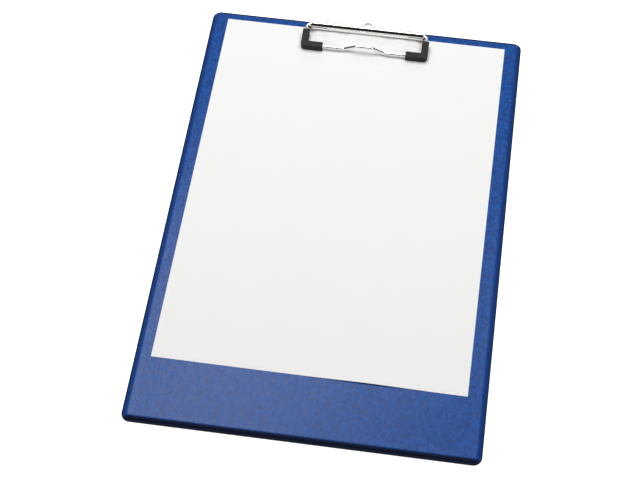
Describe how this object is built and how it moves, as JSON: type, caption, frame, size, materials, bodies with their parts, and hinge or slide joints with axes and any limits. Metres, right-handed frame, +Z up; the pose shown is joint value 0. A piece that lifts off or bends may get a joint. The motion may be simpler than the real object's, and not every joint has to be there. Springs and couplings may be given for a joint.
{
  "type": "clipboard",
  "caption": "Vinyl-covered A4 clipboard with a sprung wire clip, rubber corner sleeves, a slide-out hanging tab and a sheet of paper under the clip.",
  "frame": {"origin": "centre of the board's flat underside", "axes": "+X to the right, +Y along the board towards the clip, +Z up out of the writing face"},
  "size_m": [0.2346, 0.3558, 0.0112],
  "materials": {
    "blue_vinyl": "embossed soft vinyl sheet, semi-gloss",
    "greyboard": "plain grey pulp board",
    "chrome_plate": "bright chrome on pressed steel",
    "chrome_wire": "bright chrome on drawn wire",
    "tab_steel": "bright plated stamping",
    "rivet_steel": "nickel plated",
    "spring_steel": "drawn spring wire, lightly oiled",
    "black_rubber": "smooth moulded rubber, satin",
    "bush_nylon": "black nylon, matt",
    "white_paper": "plain uncoated sheet"
  },
  "bodies": {
    "board": {"core_board": "greyboard", "back_cover": "blue_vinyl", "front_cover": "blue_vinyl", "clip_plate": "chrome_plate", "rivet_left": "rivet_steel", "rivet_right": "rivet_steel", "torsion_spring_left": "spring_steel", "torsion_spring_right": "spring_steel", "barrel_bush_left": "bush_nylon", "barrel_bush_right": "bush_nylon", "paper_sheet": "white_paper"},
    "bail": {"wire_bail": "chrome_wire", "sleeve_left": "black_rubber", "sleeve_right": "black_rubber"},
    "tab": {"hanging_tab": "tab_steel"}
  },
  "joints": [
    {"name": "bail_hinge", "type": "hinge", "parent": "board", "child": "bail", "pos_m": [0.0009, 0.1682, 0.00737], "axis": [-1, 0, 0], "range_deg": [0, 110], "stiffness_Nm_per_rad": 0.15, "springref_deg": -80.21},
    {"name": "tab_slide", "type": "slide", "parent": "board", "child": "tab", "axis": [0, 1, 0], "range_m": [0, 0.011]}
  ]
}
